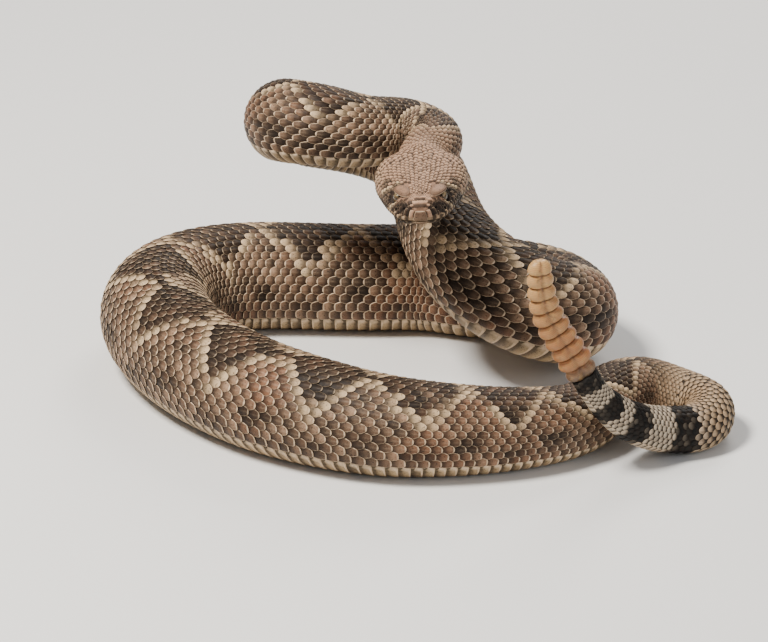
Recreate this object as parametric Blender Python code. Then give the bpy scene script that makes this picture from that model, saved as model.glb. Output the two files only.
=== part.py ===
# Western diamondback rattlesnake, coiled on the floor with its head and forebody raised.
# Metres, +Z up; the head looks along -Y and the belly rests on z = 0.

import math

import bmesh
import bpy
import numpy as np
from mathutils import Matrix, Vector

mm = 0.001
gap = 0.3 * mm
originShift = (-12.6, -12.9)
bodySides = 24
ringStep = 9.0 * mm

# A body section is a circle whose belly is cut flat this far down, in radii.
bellyDepth = 0.915
restingDepth = 0.90
typicalHeight = 22.0
# The inner side of a tight bend is drawn in to this share of the bend's own radius.
innerShare = 0.84

headLength = 48.0
headRoll = math.radians(3.0)
rollFade = 60.0
# Places on the head in millimetres: forward of the nape, to the side and up.
eyePlace = (37.0, 9.1, 3.1)
eyeRadius = 2.7
eyeRoom = 0.3
nostrilPlace = (45.8, 7.2, 1.9)
nostrilRadius = 1.0
pitPlace = (42.0, 10.5, 0.0)
pitRadius = 1.3
browPlace = (36.6, 7.7, 6.2)
browSize = (2.9, 6.1, 1.2)
browTilt = math.radians(7)
browTurn = math.radians(27)
# The lower jaw beside the head's width, at its corner and for each share of the way to the snout.
jawWidth = 0.95
jawTaper = 0.06
jawEnds = (0.312, 0.972)

# The rattle: the half width of its segments falls from rattleWidest by rattleLoss to the tip.
segmentCount = 10
rattleLength = 60.0
rattleLean = (0.94, 0.22, 0.26)
rattleWidest = 7.5
rattleLoss = 2.3
rattlePower = 2.0
rattleFirst = 6.8
rattleFlat = 0.72
grooveDepth = 0.16
grooveWidth = 0.34
segmentSteps = [0.0, 0.22, 0.55, 0.82, 1.0]
segmentSwell = [0.80, 0.99, 1.0, 0.90, 0.74]
lastSwell = [0.84, 1.0, 0.93, 0.70, 0.34]

# The route of the spine from the snout to the rattle's tip, in millimetres.
# Raised places are (x, y, height); places on the floor are (x, y), as high as their girth needs.
headRoute = [(15.7, -35.0, 105.2), (16.1, -11.0, 105.9), (16.5, 13.0, 106.6)]
neckRoute = [
    (17.7, 23.1, 107.1), (22.5, 34.3, 107.8), (20.9, 44.4, 107.6), (10.1, 52.0, 107.8),
    (-7.8, 49.2, 108.4),
]
upperLoopRoute = [
    (-25.6, 48.8, 111.2), (-38.6, 57.4, 109.4), (-43.9, 69.9, 104.9), (-41.0, 82.5, 98.6),
    (-29.0, 92.0, 92.6), (-11.0, 95.6, 87.4), (5.8, 92.0, 82.1),
]
riseRoute = [
    (16.9, 80.6, 76.0), (22.6, 62.0, 68.8), (28.2, 41.8, 61.2), (36.8, 25.6, 55.0),
    (47.6, 16.8, 48.8), (59.6, 15.4, 41.8), (74.9, 22.3, 32.8), (81.4, 32.8, 27.6),
]
backRoute = [
    (82.2, 44.9, 23.8), (77.6, 56.3, 22.6), (62.2, 69.0), (39.6, 75.4), (20.7, 81.4), (-1.4, 82.4),
    (-24.6, 82.8), (-47.6, 83.8),
]
leftBendRoute = [(-68.2, 82.2), (-84.9, 75.6), (-96.4, 64.2), (-101.8, 49.2), (-101.2, 31.0), (-94.6, 11.7)]
frontRoute = [
    (-84.0, -7.4), (-70.5, -24.7), (-54.7, -39.7), (-36.4, -52.0), (-16.6, -61.4), (3.7, -66.8),
    (25.4, -67.4), (47.8, -64.6), (68.6, -58.0), (85.3, -46.8),
]
rumpRoute = [(99.2, -30.8, 16.8), (112.8, -20.4, 15.8), (129.5, -21.4, 12.0)]
tailRoute = [
    (141.0, -32.0, 11.4), (138.4, -45.4, 10.4), (121.2, -54.9, 12.6), (105.0, -65.0, 21.4),
    (90.4, -72.1, 37.4),
]
rattleRoute = [(79.4, -75.4, 57.4), (68.2, -77.2, 78.6), (64.8, -79.6, 103.4)]

# Half the body's thickness at distances behind the nape, in millimetres.
girthAt = [
    (-50, 11.0), (0, 11.0), (20, 11.8), (40, 13.6), (60, 15.8), (80, 17.9), (95, 18.9), (111, 19.2),
    (201, 18.9), (231, 20.0), (261, 22.0), (291, 23.3), (346, 23.2), (411, 24.5), (511, 25.1),
    (566, 25.8), (631, 25.1), (681, 24.0), (711, 22.6), (751, 20.0), (791, 17.0), (831, 14.6),
    (856, 13.3), (876, 12.0), (896, 10.9), (931, 9.6), (946, 8.2), (961, 6.4),
]

# Where the body is divided: each length's name and its end behind the nape.
bodyLengths = [
    ("neck", 58), ("upper_loop_front", 107), ("upper_loop_back", 155), ("rise_top", 205),
    ("rise_middle", 255), ("rise_foot", 301), ("right_bend", 355), ("back_right", 413),
    ("back_left", 477), ("left_bend_back", 529), ("left_bend_front", 581), ("front_left", 639),
    ("front_middle", 701), ("front_right", 761), ("rear_body", 817), ("rump", 863),
    ("tail_bend", 903), ("tail_middle", 935),
]

# Head profiles: distance forward of the nape as a share of the head's length, and millimetres.
headHalfWidth = [
    (0, 11.2), (0.04, 14.8), (0.09, 17.9), (0.15, 19.7), (0.22, 20.5), (0.30, 20.6), (0.38, 20.0),
    (0.46, 19.0), (0.54, 17.9), (0.62, 16.7), (0.70, 15.5), (0.78, 14.1), (0.86, 12.3), (0.93, 10.0),
    (0.97, 7.7), (0.99, 5.4), (1.0, 3.0),
]
headTop = [
    (0, 11.0), (0.1, 10.4), (0.25, 9.5), (0.5, 8.7), (0.7, 7.9), (0.86, 6.7), (0.95, 5.2), (1.0, 2.2),
]
headBottom = [(0, 11.0), (0.2, 11.2), (0.36, 10.8), (0.6, 9.6), (0.8, 8.2), (0.93, 6.8), (1.0, 5.0)]
# How far the upper part of a head ring is drawn in, over this height from this level upward.
headLean = [(0, 0.0), (0.3, 0.06), (0.45, 0.11), (0.75, 0.33)]
leanFrom = -3.0
leanHeight = 10.0
headBoxy = 0.72
mouthLine = [(0.28, 2.8), (0.40, 4.1), (0.6, 4.9), (0.8, 4.5), (1.0, 3.4)]
mouthCorner = 0.30
headStations = [
    0.0, 0.02, 0.05, 0.09, 0.14, 0.19, 0.245, 0.295, 0.305, 0.36, 0.42, 0.48, 0.54, 0.60, 0.66, 0.72,
    0.78, 0.84, 0.89, 0.93, 0.96, 0.98, 0.992, 1.0,
]
headSides = 32


def profile(pairs, at):
    # Straight lines through the pairs, rounded by averaging three near places.
    keys = np.array([pair[0] for pair in pairs], float)
    values = np.array([pair[1] for pair in pairs], float)
    reach = 0.25 * np.min(np.diff(keys))
    at = np.asarray(at, float)
    parts = [np.interp(at + reach * k, keys, values) for k in (-1, 0, 1)]
    return sum(parts) / 3


def splineThrough(knots, places, at):
    # Natural cubic spline: its second derivatives solve one linear system.
    count = len(knots)
    span = np.diff(knots)
    slope = np.diff(places, axis=0) / span[:, None]
    system = np.eye(count)
    right = np.zeros_like(places)
    for i in range(1, count - 1):
        system[i, i - 1:i + 2] = span[i - 1], 2 * (span[i - 1] + span[i]), span[i]
        right[i] = 6 * (slope[i] - slope[i - 1])
    bend = np.linalg.solve(system, right)
    k = np.clip(np.searchsorted(knots, at) - 1, 0, count - 2)
    h = span[k][:, None]
    a = (knots[k + 1] - at)[:, None] / h
    b = 1 - a
    return (a * places[k] + b * places[k + 1]
            + ((a ** 3 - a) * bend[k] + (b ** 3 - b) * bend[k + 1]) * h ** 2 / 6)


def unit(rows):
    return rows / np.linalg.norm(rows, axis=-1, keepdims=True)


def routePlaces():
    # All route points in metres; a place on the floor takes its height from its girth.
    route = headRoute + neckRoute + upperLoopRoute + riseRoute + backRoute
    route = route + leftBendRoute + frontRoute + rumpRoute + tailRoute + rattleRoute
    lying = np.array([len(place) == 2 for place in route])
    places = np.array([(*place, typicalHeight)[:3] for place in route], float)
    walk = np.concatenate([[0], np.cumsum(np.linalg.norm(np.diff(places, axis=0), axis=1))])
    behind = walk - walk[len(headRoute) - 1]
    resting = restingDepth * profile(girthAt, behind)
    places[:, 2] = np.where(lying, resting, places[:, 2])
    places[:, :2] += originShift
    return places * mm


class Spine:
    # The centre line of the whole animal, with its directions, measured from the nape backward.
    def __init__(self):
        places = routePlaces()
        knots = np.concatenate([[0], np.cumsum(np.linalg.norm(np.diff(places, axis=0), axis=1))])
        fine = np.linspace(0, knots[-1], 4001)
        line = splineThrough(knots, places, fine)
        walk = np.concatenate([[0], np.cumsum(np.linalg.norm(np.diff(line, axis=0), axis=1))])
        napeWalk = np.interp(knots[len(headRoute) - 1], fine, walk)
        self.along = walk - napeWalk
        self.line = line
        self.end = self.along[-1]
        self.tailEnd = self.end - rattleLength * mm

    def at(self, behind):
        # Centre, tangent, side, back direction, radius and bend vector at distances behind the nape.
        behind = np.atleast_1d(np.asarray(behind, float))
        small = 2.0 * mm

        def centreAt(s):
            return np.column_stack([np.interp(s, self.along, self.line[:, k]) for k in range(3)])

        before, centre, after = centreAt(behind - small), centreAt(behind), centreAt(behind + small)
        tangent = unit(after - before)
        bend = (after - 2 * centre + before) / small ** 2
        upward = np.zeros_like(centre)
        upward[:, 2] = 1
        roll = headRoll * np.clip(1 - behind / (rollFade * mm), 0, 1)
        upward[:, 0] = -np.sin(roll)
        risen = np.clip((behind - (self.tailEnd - 45 * mm)) / (45 * mm), 0, 1)[:, None]
        risen = risen * risen * (3 - 2 * risen)
        upward = upward * (1 - risen) + np.array(rattleLean) * risen
        back = unit(upward - np.sum(upward * tangent, axis=1)[:, None] * tangent)
        side = np.cross(tangent, back)
        radius = profile(girthAt, behind / mm) * mm
        return centre, tangent, side, back, radius, bend


def ringAngles(count):
    return (np.arange(count) + 0.5) * 2 * math.pi / count


def bodyRings(spine, behind):
    # Rings of the body: a circle with a flat belly, never below the floor.
    centre, tangent, side, back, radius, bend = spine.at(behind)
    angle = ringAngles(bodySides)
    across = np.sin(angle)
    up = np.maximum(np.cos(angle), -bellyDepth)
    offset = (side[:, None] * across[None, :, None] + back[:, None] * up[None, :, None])
    offset = offset * radius[:, None, None]
    amount = np.linalg.norm(bend, axis=1)
    inward = bend / np.maximum(amount, 1e-6)[:, None]
    reach = np.sum(offset * inward[:, None], axis=2)
    share = np.minimum(1, innerShare / np.maximum(amount * radius, 1e-6))
    pulled = np.maximum(reach, 0) * (1 - share)[:, None]
    rings = centre[:, None] + offset - inward[:, None] * pulled[:, :, None]
    rings[:, :, 2] = np.maximum(rings[:, :, 2], 0)
    return rings


def loft(name, rings, home, material):
    # A closed body from rings of equal count, with both ends capped.
    mesh = bmesh.new()
    rows = [[mesh.verts.new(place) for place in ring] for ring in rings]
    count = len(rows[0])
    for first, second in zip(rows, rows[1:]):
        for i in range(count):
            j = (i + 1) % count
            mesh.faces.new((first[i], first[j], second[j], second[i]))
    mesh.faces.new(list(reversed(rows[0])))
    mesh.faces.new(rows[-1])
    bmesh.ops.recalc_face_normals(mesh, faces=mesh.faces)
    data = bpy.data.meshes.new(name)
    mesh.to_mesh(data)
    mesh.free()
    data.shade_smooth()
    data.set_sharp_from_angle(angle=math.radians(50))
    data.materials.append(material)
    piece = bpy.data.objects.new(name, data)
    home.objects.link(piece)
    return piece


def makeMaterial(name, colour, roughness):
    material = bpy.data.materials.new(name)
    material.use_nodes = True
    shader = material.node_tree.nodes["Principled BSDF"]
    shader.inputs["Base Color"].default_value = (*colour, 1)
    shader.inputs["Roughness"].default_value = roughness
    return material


def bodyLengthPieces(spine, home, material):
    # The body from the nape to the rattle, parted into lengths with thin cuts.
    start = 0.0
    ends = [(name, end * mm) for name, end in bodyLengths] + [("tail_end", spine.tailEnd)]
    for name, end in ends:
        steps = max(4, round((end - start) / ringStep))
        behind = np.linspace(start + gap / 2, end - gap / 2, steps + 1)
        loft(name, bodyRings(spine, behind), home, material)
        start = end


class HeadFrame:
    # Places on the head, in millimetres forward of the nape, to its side (+X) and upward.
    def __init__(self, spine):
        centre, tangent, side, back, radius, bend = spine.at(0.0)
        self.nape = centre[0]
        self.forward = -tangent[0]
        self.up = back[0]
        self.side = np.cross(self.up, self.forward)

    def place(self, along, side, up):
        along, side, up = np.broadcast_arrays(along, side, up)
        return (self.nape + self.forward * along[..., None] * mm
                + self.side * side[..., None] * mm + self.up * up[..., None] * mm)

    def matrix(self, along, side, up, turn):
        spin = Matrix((Vector(self.side), Vector(-self.forward), Vector(self.up))).transposed()
        place = Vector(self.place(along, side, up))
        return Matrix.Translation(place) @ spin.to_4x4() @ turn


def signedPower(values, power):
    return np.sign(values) * np.abs(values) ** power


def headSection(station, floor):
    # One ring of the head: a rounded box, flat on top toward the snout, cut off below at floor.
    angle = ringAngles(headSides)
    half = profile(headHalfWidth, station)
    top = profile(headTop, station)
    bottom = profile(headBottom, station)
    boxy = 1.0 - (1.0 - headBoxy) * np.clip(station / 0.15, 0, 1)
    across = half * signedPower(np.sin(angle), boxy)
    up = np.where(np.cos(angle) > 0, top, bottom) * signedPower(np.cos(angle), boxy)
    keys, values = np.array(headLean).T
    lean = np.clip((up - leanFrom) / leanHeight, 0, 1) * np.interp(station, keys, values)
    across = across * (1 - lean)
    return across, np.maximum(up, max(floor, -bellyDepth * bottom))


def headPiece(frame, home, cutters, material):
    # The head down to the mouth line, with the throat behind the mouth's corner.
    rings = []
    for station in headStations:
        floor = -20.0
        if station > mouthCorner:
            floor = -profile(mouthLine, station)
        across, up = headSection(station, floor)
        rings.append(frame.place(station * headLength, across, up))
    head = loft("head", rings, home, material)
    for sign in (-1, 1):
        addBrow(frame, sign, cutters, head)
    cuts = [("eye_socket", eyePlace, eyeRadius + eyeRoom), ("nostril", nostrilPlace, nostrilRadius),
            ("heat_pit", pitPlace, pitRadius)]
    for name, (along, side, up), radius in cuts:
        for sign in (-1, 1):
            cutter = ball(f"cut_{name}_{'left' if sign > 0 else 'right'}", radius, cutters)
            cutter.matrix_world = frame.matrix(along, sign * side, up, Matrix())
            joinShape(head, cutter, "DIFFERENCE")
    bpy.context.view_layer.update()
    settleShape(head)


def ball(name, radius, home):
    mesh = bmesh.new()
    bmesh.ops.create_uvsphere(mesh, u_segments=16, v_segments=10, radius=radius * mm)
    data = bpy.data.meshes.new(name)
    mesh.to_mesh(data)
    mesh.free()
    data.shade_smooth()
    piece = bpy.data.objects.new(name, data)
    home.objects.link(piece)
    return piece


def joinShape(base, other, operation):
    other.hide_render = True
    other.display_type = "WIRE"
    modifier = base.modifiers.new(other.name, "BOOLEAN")
    modifier.operation = operation
    modifier.solver = "MANIFOLD"
    modifier.object = other


def settleShape(piece):
    # Keep the shape that the joins and cuts leave: its largest closed surface, without slivers.
    graph = bpy.context.evaluated_depsgraph_get()
    data = bpy.data.meshes.new_from_object(piece.evaluated_get(graph))
    piece.modifiers.clear()
    mesh = bmesh.new()
    mesh.from_mesh(data)
    bmesh.ops.dissolve_degenerate(mesh, edges=mesh.edges, dist=0.03 * mm)
    bmesh.ops.triangulate(mesh, faces=mesh.faces)
    unseen = set(mesh.verts)
    shells = []
    while unseen:
        shell = {unseen.pop()}
        edge = list(shell)
        while edge:
            near = {link.other_vert(vert) for vert in edge for link in vert.link_edges} - shell
            shell |= near
            edge = list(near)
        unseen -= shell
        shells.append(shell)
    loose = set(mesh.verts) - max(shells, key=len)
    bmesh.ops.delete(mesh, geom=list(loose), context="VERTS")
    mesh.to_mesh(data)
    mesh.free()
    piece.data = data


def addBrow(frame, sign, cutters, head):
    # The raised shield over each eye: a flattened ball that overhangs the eye.
    brow = ball(f"brow_{'left' if sign > 0 else 'right'}", 1.0, cutters)
    size = Matrix.Diagonal((*browSize, 1.0))
    turn = Matrix.Rotation(sign * browTilt, 4, "Y") @ Matrix.Rotation(-sign * browTurn, 4, "Z")
    along, side, up = browPlace
    brow.matrix_world = frame.matrix(along, sign * side, up, turn @ size)
    joinShape(head, brow, "UNION")


def jawPiece(frame, home, material):
    # The lower jaw: a flat lid just under the mouth line, and a rounded floor below it.
    angle = ringAngles(headSides)
    rings = []
    for station in np.linspace(*jawEnds, 13):
        lid = profile(mouthLine, station) + gap / mm
        half = profile(headHalfWidth, station) * (jawWidth - jawTaper * station)
        depth = profile(headBottom, station) - lid
        across = half * signedPower(np.sin(angle), 0.85)
        up = -lid - depth * np.maximum(-np.cos(angle), 0) ** 0.85
        rings.append(frame.place(station * headLength, across, up))
    return loft("lower_jaw", rings, home, material)


def eyePieces(frame, home, material):
    along, side, up = eyePlace
    for sign, name in ((1, "eye_left"), (-1, "eye_right")):
        eye = ball(name, eyeRadius, home)
        eye.data.materials.append(material)
        eye.matrix_world = frame.matrix(along, sign * side, up, Matrix())


def rattlePieces(spine, home, material):
    # Nested segments: each swells, then narrows to the next, with a groove along both sides.
    pitch = rattleLength / segmentCount
    angle = ringAngles(20)
    tall = np.cos(angle)
    wide = np.sin(angle)
    groove = 1 - grooveDepth * np.exp(-((tall / grooveWidth) ** 2))
    steps = np.array(segmentSteps)
    for k in range(segmentCount):
        size = rattleWidest - rattleLoss * (k / (segmentCount - 1)) ** rattlePower
        if k == 0:
            size = rattleFirst
        swell = np.array(lastSwell if k == segmentCount - 1 else segmentSwell)
        first = spine.tailEnd + k * pitch * mm + gap / 2
        behind = first + steps * (pitch * mm - gap)
        centre, tangent, side, back, radius, bend = spine.at(behind)
        reach = (size * mm * swell)[:, None] * groove[None, :]
        offset = (back[:, None] * (reach * tall)[:, :, None]
                  + side[:, None] * (reach * wide * rattleFlat)[:, :, None])
        loft(f"rattle_{k + 1:02d}", centre[:, None] + offset, home, material)


def main():
    for item in list(bpy.data.objects):
        bpy.data.objects.remove(item)
    home = bpy.data.collections.new("western_diamondback_rattlesnake")
    cutters = bpy.data.collections.new("cutters")
    bpy.context.scene.collection.children.link(home)
    bpy.context.scene.collection.children.link(cutters)
    skin = makeMaterial("scaled_skin", (0.36, 0.28, 0.21), 0.6)
    headSkin = makeMaterial("head_skin", (0.46, 0.36, 0.27), 0.55)
    horn = makeMaterial("rattle_horn", (0.58, 0.36, 0.18), 0.5)
    eye = makeMaterial("eye", (0.10, 0.08, 0.05), 0.15)
    spine = Spine()
    frame = HeadFrame(spine)
    headPiece(frame, home, cutters, headSkin)
    jawPiece(frame, home, headSkin)
    eyePieces(frame, home, eye)
    bodyLengthPieces(spine, home, skin)
    rattlePieces(spine, home, horn)


main()
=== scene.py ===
import math

import bpy
import numpy as np
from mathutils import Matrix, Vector


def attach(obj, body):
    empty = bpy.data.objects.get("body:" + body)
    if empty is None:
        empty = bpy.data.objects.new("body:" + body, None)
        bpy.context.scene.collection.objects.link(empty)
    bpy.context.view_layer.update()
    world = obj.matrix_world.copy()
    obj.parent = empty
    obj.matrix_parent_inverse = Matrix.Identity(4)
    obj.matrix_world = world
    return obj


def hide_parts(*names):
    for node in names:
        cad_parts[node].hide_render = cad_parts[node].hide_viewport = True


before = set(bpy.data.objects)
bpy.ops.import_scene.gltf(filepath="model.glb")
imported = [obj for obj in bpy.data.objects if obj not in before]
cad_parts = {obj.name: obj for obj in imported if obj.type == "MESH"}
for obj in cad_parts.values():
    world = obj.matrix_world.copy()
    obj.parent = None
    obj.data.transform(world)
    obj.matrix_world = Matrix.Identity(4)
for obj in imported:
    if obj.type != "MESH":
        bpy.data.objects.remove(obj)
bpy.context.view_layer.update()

mm = 0.001
turn = 2 * math.pi
rng = np.random.default_rng(27)
print("frame loaded with", len(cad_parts), "nodes")


# The course from snout to rattle tip in millimetres: (x, y, height) is raised, (x, y) on the floor.
course = {
    "shift": (-12.6, -12.9),
    "head": [(15.7, -35.0, 105.2), (16.1, -11.0, 105.9), (16.5, 13.0, 106.6)],
    "neck": [(17.7, 23.1, 107.1), (22.5, 34.3, 107.8), (20.9, 44.4, 107.6), (10.1, 52.0, 107.8),
             (-7.8, 49.2, 108.4)],
    "upperLoop": [(-25.6, 48.8, 111.2), (-38.6, 57.4, 109.4), (-43.9, 69.9, 104.9), (-41.0, 82.5, 98.6),
                  (-29.0, 92.0, 92.6), (-11.0, 95.6, 87.4), (5.8, 92.0, 82.1)],
    "rise": [(16.9, 80.6, 76.0), (22.6, 62.0, 68.8), (28.2, 41.8, 61.2), (36.8, 25.6, 55.0),
             (47.6, 16.8, 48.8), (59.6, 15.4, 41.8), (74.9, 22.3, 32.8), (81.4, 32.8, 27.6)],
    "back": [(82.2, 44.9, 23.8), (77.6, 56.3, 22.6), (62.2, 69.0), (39.6, 75.4), (20.7, 81.4),
             (-1.4, 82.4), (-24.6, 82.8), (-47.6, 83.8)],
    "leftBend": [(-68.2, 82.2), (-84.9, 75.6), (-96.4, 64.2), (-101.8, 49.2), (-101.2, 31.0), (-94.6, 11.7)],
    "front": [(-84.0, -7.4), (-70.5, -24.7), (-54.7, -39.7), (-36.4, -52.0), (-16.6, -61.4),
              (3.7, -66.8), (25.4, -67.4), (47.8, -64.6), (68.6, -58.0), (85.3, -46.8)],
    "rump": [(99.2, -30.8, 16.8), (112.8, -20.4, 15.8), (129.5, -21.4, 12.0)],
    "tail": [(141.0, -32.0, 11.4), (138.4, -45.4, 10.4), (121.2, -54.9, 12.6), (105.0, -65.0, 21.4),
             (90.4, -72.1, 37.4)],
    "rattle": [(79.4, -75.4, 57.4), (68.2, -77.2, 78.6), (64.8, -79.6, 103.4)],
}
body = {
    "bellyDepth": 0.915,       # how far below the centre the belly is flat, in radii
    "restingDepth": 0.90,
    "typicalHeight": 22.0,
    "innerShare": 0.84,        # how much of a tight bend's own radius its inner side may take
    "headRoll": math.radians(3.0),
    "rollFade": 60.0,
    "rattleLength": 60.0,
    "rattleLean": (0.94, 0.22, 0.26),
    "leanFade": 45.0,
    # half the thickness at distances behind the nape
    "girth": [(-50, 11.0), (0, 11.0), (20, 11.8), (40, 13.6), (60, 15.8), (80, 17.9), (95, 18.9),
              (111, 19.2), (201, 18.9), (231, 20.0), (261, 22.0), (291, 23.3), (346, 23.2), (411, 24.5),
              (511, 25.1), (566, 25.8), (631, 25.1), (681, 24.0), (711, 22.6), (751, 20.0), (791, 17.0),
              (831, 14.6), (856, 13.3), (876, 12.0), (896, 10.9), (931, 9.6), (946, 8.2), (961, 6.4)],
}
head = {
    "length": 48.0,
    "coat": 0.42,              # how deep the scales stand over the skin of the head
    # half its width, its height over the centre line and its depth under it, at shares of its length
    "halfWidth": [(0, 11.0), (0.04, 14.6), (0.09, 17.8), (0.15, 19.7), (0.22, 20.5), (0.30, 20.6),
                  (0.38, 20.0), (0.46, 19.0), (0.54, 17.9), (0.62, 16.7), (0.70, 15.5), (0.78, 14.1),
                  (0.86, 12.3), (0.93, 10.0), (0.97, 7.7), (0.99, 5.4), (1.0, 3.4)],
    "top": [(0, 11.0), (0.1, 10.4), (0.25, 9.5), (0.5, 8.7), (0.7, 7.9), (0.86, 6.7), (0.95, 5.2),
            (1.0, 2.6)],
    "bottom": [(0, 11.0), (0.2, 11.2), (0.36, 10.8), (0.6, 9.6), (0.8, 8.2), (0.93, 6.8), (1.0, 5.0)],
    "boxy": 0.28, "boxyBy": 0.16,
    # how far the flanks lean inward, from which height and over how much height
    "lean": [(0.0, 0.0), (0.3, 0.06), (0.45, 0.11), (0.75, 0.33)],
    "leanFrom": -3.0, "leanHeight": 10.0,
    "closing": 0.03,           # the snout's tip closes over this share of the length
    "mouth": [(0.28, 2.8), (0.40, 4.1), (0.6, 4.9), (0.8, 4.5), (1.0, 3.4)],
    "mouthCorner": 0.30,
    "jawInset": 0.055,
    "eye": (37.0, 9.1, 3.1),
    "eyeRadius": 2.62,
    "gaze": (0.30, 0.93, 0.20),
    "nostril": (45.8, 7.2, 1.9),
    "pit": (42.0, 10.5, 0.0),
    "brow": (36.6, 7.7, 5.95),
    "browTurn": math.radians(27),
}


def smoothProfile(pairs, at):
    # Cubic pieces through the pairs; each slope is the mean of its neighbours' slopes.
    keys, values = np.array(pairs, float).T
    slopes = np.gradient(values, keys)
    at = np.clip(np.asarray(at, float), keys[0], keys[-1])
    k = np.clip(np.searchsorted(keys, at) - 1, 0, len(keys) - 2)
    span = keys[k + 1] - keys[k]
    t = (at - keys[k]) / span
    return ((1 + 2 * t) * (1 - t) ** 2 * values[k] + t * (1 - t) ** 2 * span * slopes[k]
            + t * t * (3 - 2 * t) * values[k + 1] + t * t * (t - 1) * span * slopes[k + 1])


def splineThrough(knots, places, at):
    # Natural cubic spline: its second derivatives solve one linear system.
    count = len(knots)
    span = np.diff(knots)
    slope = np.diff(places, axis=0) / span[:, None]
    system = np.eye(count)
    right = np.zeros_like(places)
    for i in range(1, count - 1):
        system[i, i - 1:i + 2] = span[i - 1], 2 * (span[i - 1] + span[i]), span[i]
        right[i] = 6 * (slope[i] - slope[i - 1])
    bend = np.linalg.solve(system, right)
    k = np.clip(np.searchsorted(knots, at) - 1, 0, count - 2)
    h = span[k][:, None]
    a = (knots[k + 1] - at)[:, None] / h
    b = 1 - a
    curve = (a ** 3 - a) * bend[k] + (b ** 3 - b) * bend[k + 1]
    return a * places[k] + b * places[k + 1] + curve * h ** 2 / 6


def unit(rows):
    return rows / np.maximum(np.linalg.norm(rows, axis=-1, keepdims=True), 1e-12)


def ease(low, high, at):
    # 0 before low, 1 past high and smooth between; low may be the larger
    t = np.clip((np.asarray(at, float) - low) / (high - low), 0, 1)
    return t * t * (3 - 2 * t)


def lengthAlong(places):
    return np.concatenate([[0], np.cumsum(np.linalg.norm(np.diff(places, axis=0), axis=1))])


class Spine:
    # The centre line every quarter millimetre from the nape backward: centre, tangent, side, back
    # direction, bend vector and radius.
    def __init__(self):
        route = sum((course[part] for part in list(course)[1:]), [])
        lying = np.array([len(place) == 2 for place in route])
        places = np.array([(*place, body["typicalHeight"])[:3] for place in route], float)
        rough = lengthAlong(places)
        rough = rough - rough[len(course["head"]) - 1]
        keys, values = np.array(body["girth"], float).T
        resting = body["restingDepth"] * np.interp(rough, keys, values)
        places[:, 2] = np.where(lying, resting, places[:, 2])
        places[:, :2] += course["shift"]
        places = places * mm
        knots = lengthAlong(places)
        fine = np.linspace(0, knots[-1], 4001)
        line = splineThrough(knots, places, fine)
        walk = lengthAlong(line)
        walk = walk - np.interp(knots[len(course["head"]) - 1], fine, walk)
        self.step = 0.25 * mm
        self.start = walk[0]
        self.end = walk[-1]
        self.tailEnd = self.end - body["rattleLength"] * mm
        at = np.arange(walk[0], walk[-1], self.step)
        centre = np.column_stack([np.interp(at, walk, line[:, k]) for k in range(3)])
        reach, smoothing = 8, 12        # in steps of the table
        near = np.clip(np.arange(len(at))[:, None] + [-reach, 0, reach], 0, len(at) - 1)
        before, middle, after = centre[near[:, 0]], centre[near[:, 1]], centre[near[:, 2]]
        tangent = unit(after - before)
        bend = (after - 2 * middle + before) / (reach * self.step) ** 2
        soft = np.hanning(2 * smoothing + 1)
        soft = soft / soft.sum()
        padded = np.pad(bend, ((smoothing, smoothing), (0, 0)), mode="edge")
        bend = np.column_stack([np.convolve(padded[:, k], soft, mode="valid") for k in range(3)])
        roll = body["headRoll"] * np.clip(1 - at / (body["rollFade"] * mm), 0, 1)
        upward = np.column_stack([-np.sin(roll), 0 * roll, 0 * roll + 1])
        risen = ease(self.tailEnd - body["leanFade"] * mm, self.tailEnd, at)[:, None]
        upward = upward * (1 - risen) + np.array(body["rattleLean"]) * risen
        back = unit(upward - np.sum(upward * tangent, axis=1)[:, None] * tangent)
        side = np.cross(tangent, back)
        radius = smoothProfile(body["girth"], at / mm) * mm
        self.table = np.column_stack([centre, tangent, side, back, bend, radius])
        self.at = at

    def read(self, behind):
        place = np.clip((behind - self.start) / self.step, 0, len(self.at) - 1.001)
        k = place.astype(int)
        part = (place - k)[..., None]
        row = self.table[k] * (1 - part) + self.table[k + 1] * part
        return row[..., 0:3], row[..., 3:6], row[..., 6:9], row[..., 9:12], row[..., 12:15], row[..., 15]

    def radius(self, behind):
        return np.interp(behind, self.at, self.table[:, 15])


spine = Spine()
nape, backward, headSide, headUp = [part[0] for part in spine.read(np.array([0.0]))[:4]]
headForward = -backward
headLength = head["length"] * mm


def headPlace(along, side, up):
    # a place of the head: millimetres forward of the nape, to its side and up
    along, side, up = np.broadcast_arrays(np.asarray(along, float), side, up)
    return (nape + headForward * along[..., None] * mm + headSide * side[..., None] * mm
            + headUp * up[..., None] * mm)


def headSpot(places):
    # the same three lengths of places in the world
    offset = (places - nape) / mm
    return offset @ headForward, offset @ headSide, offset @ headUp


def signedPower(values, power):
    return np.sign(values) * np.abs(values) ** power


def headRingSizes(inside):
    # half width, top, bottom, squareness and lean of the ring at a share of the head's length
    keys, values = np.array(head["lean"]).T
    return (smoothProfile(head["halfWidth"], inside), smoothProfile(head["top"], inside),
            smoothProfile(head["bottom"], inside), 1.0 - head["boxy"] * ease(0, head["boxyBy"], inside),
            np.interp(inside, keys, values))


def drawnIn(up, lean):
    # what is left of the width at a height of a leaning flank
    return 1 - np.clip((up - head["leanFrom"]) / head["leanHeight"], 0, 1) * lean


def mouthAt(along):
    # how far under the centre line the mouth runs
    return smoothProfile(head["mouth"], np.clip(along / head["length"], 0.28, 1))


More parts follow.
